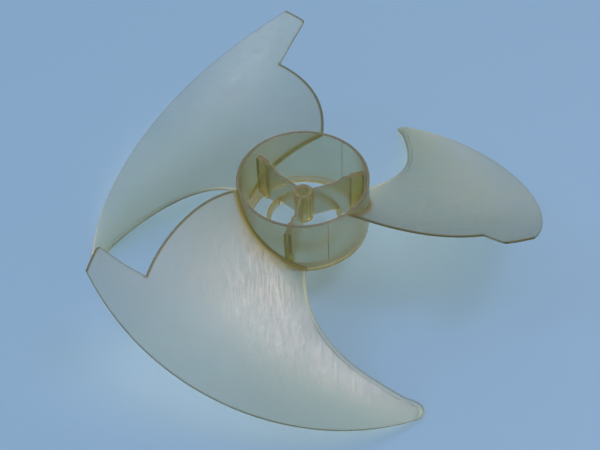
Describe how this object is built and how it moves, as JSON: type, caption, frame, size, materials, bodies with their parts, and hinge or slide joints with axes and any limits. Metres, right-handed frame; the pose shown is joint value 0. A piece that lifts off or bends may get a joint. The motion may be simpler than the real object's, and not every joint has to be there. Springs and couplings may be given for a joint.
{
  "type": "axial fan blade",
  "caption": "Moulded axial fan wheel in translucent plastic: wide swept, cambered blades round an open cup-shaped hub with a ribbed shaft boss.",
  "frame": {"origin": "on the shaft axis, level with the underside of the hub", "axes": "+Z along the shaft axis, towards the open end of the hub; blade_1 lies between the -X and -Y sides"},
  "size_m": [0.4213, 0.4236, 0.1357],
  "materials": {
    "hub_plastic": "clear yellowish styrene plastic, polished",
    "boss_plastic": "clear yellowish styrene plastic, thick",
    "rib_plastic": "clear yellowish styrene plastic, polished",
    "post_plastic": "clear yellowish styrene plastic, thick",
    "blade_plastic": "frosted translucent styrene plastic"
  },
  "bodies": {
    "root": {"hub_wall_1": "hub_plastic", "hub_wall_2": "hub_plastic", "hub_wall_3": "hub_plastic", "hub_lip": "hub_plastic", "inner_ring": "hub_plastic", "shaft_boss": "boss_plastic", "hub_rib_1": "rib_plastic", "hub_rib_2": "rib_plastic", "hub_rib_3": "rib_plastic", "balance_post_1": "post_plastic", "balance_post_2": "post_plastic", "balance_post_3": "post_plastic", "blade_1": "blade_plastic", "blade_2": "blade_plastic", "blade_3": "blade_plastic"}
  },
  "joints": []
}
